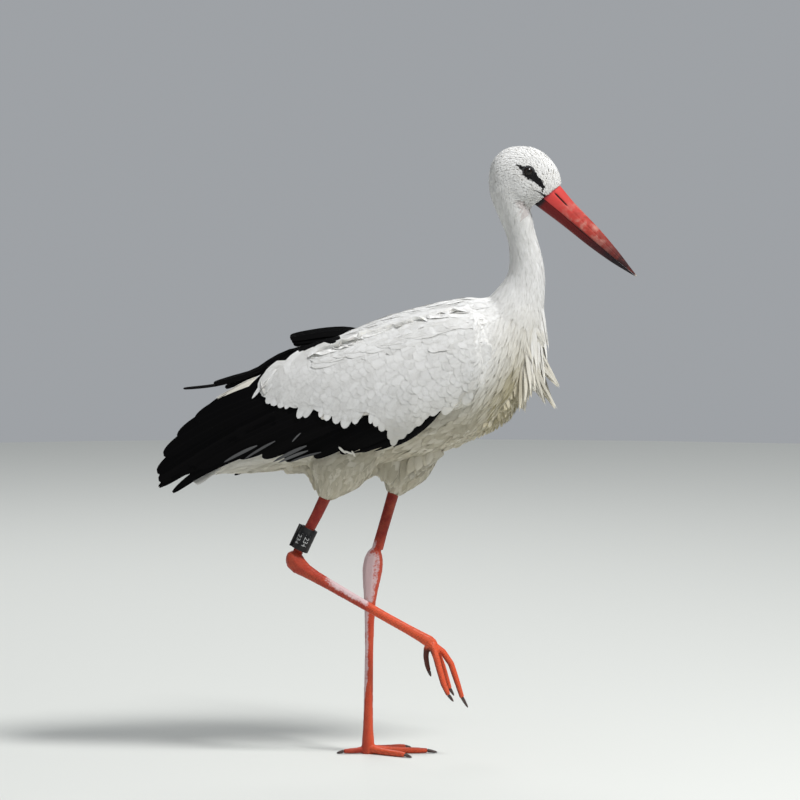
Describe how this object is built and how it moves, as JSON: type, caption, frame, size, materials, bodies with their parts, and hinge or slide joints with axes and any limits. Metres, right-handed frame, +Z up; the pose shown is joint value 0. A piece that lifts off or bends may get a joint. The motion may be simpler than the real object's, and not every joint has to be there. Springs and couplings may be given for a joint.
{
  "type": "white stork",
  "caption": "Life-size white stork in mid step, standing on one straight leg with the other lifted, wings folded, long red bill pointing down.",
  "frame": {"origin": "on the sole of the standing foot, below the end of its tarsus", "axes": "+X the way the bird faces, +Y its left side, +Z up"},
  "size_m": [0.6622, 0.1878, 0.8436],
  "materials": {
    "white_feathers": "overlapping white feathers, matt",
    "cream_feathers": "soft cream-white feathers, matt",
    "black_feathers": "black flight feathers with a faint sheen",
    "bill_horn": "red horn, satin, darker towards the tip",
    "eye": "dark brown, wet shine",
    "leg_skin": "red scaly skin with patches of whitish coating",
    "claw_horn": "dark horn",
    "ring_plastic": "black engraved plastic"
  },
  "bodies": {
    "root": {"head": "white_feathers", "neck_upper": "white_feathers", "neck_lower": "white_feathers", "trunk": "cream_feathers", "breast_plumes": "cream_feathers", "tail": "white_feathers", "thigh_left": "white_feathers", "thigh_right": "white_feathers", "wing_left_coverts": "white_feathers", "wing_right_coverts": "white_feathers", "wing_left_secondaries": "black_feathers", "wing_right_secondaries": "black_feathers", "wing_left_primaries": "black_feathers", "wing_right_primaries": "black_feathers", "wing_left_tertials": "black_feathers", "wing_right_tertials": "black_feathers", "bill_upper": "bill_horn", "bill_lower": "bill_horn", "eye_left": "eye", "eye_right": "eye", "shank_left": "leg_skin", "shank_right": "leg_skin", "tarsus_left": "leg_skin", "tarsus_right": "leg_skin", "toe_left_middle": "leg_skin", "toe_left_outer": "leg_skin", "toe_left_inner": "leg_skin", "toe_left_hind": "leg_skin", "toe_right_middle": "leg_skin", "toe_right_outer": "leg_skin", "toe_right_inner": "leg_skin", "toe_right_hind": "leg_skin", "claw_left_middle": "claw_horn", "claw_left_outer": "claw_horn", "claw_left_inner": "claw_horn", "claw_left_hind": "claw_horn", "claw_right_middle": "claw_horn", "claw_right_outer": "claw_horn", "claw_right_inner": "claw_horn", "claw_right_hind": "claw_horn", "leg_ring": "ring_plastic"}
  },
  "joints": []
}
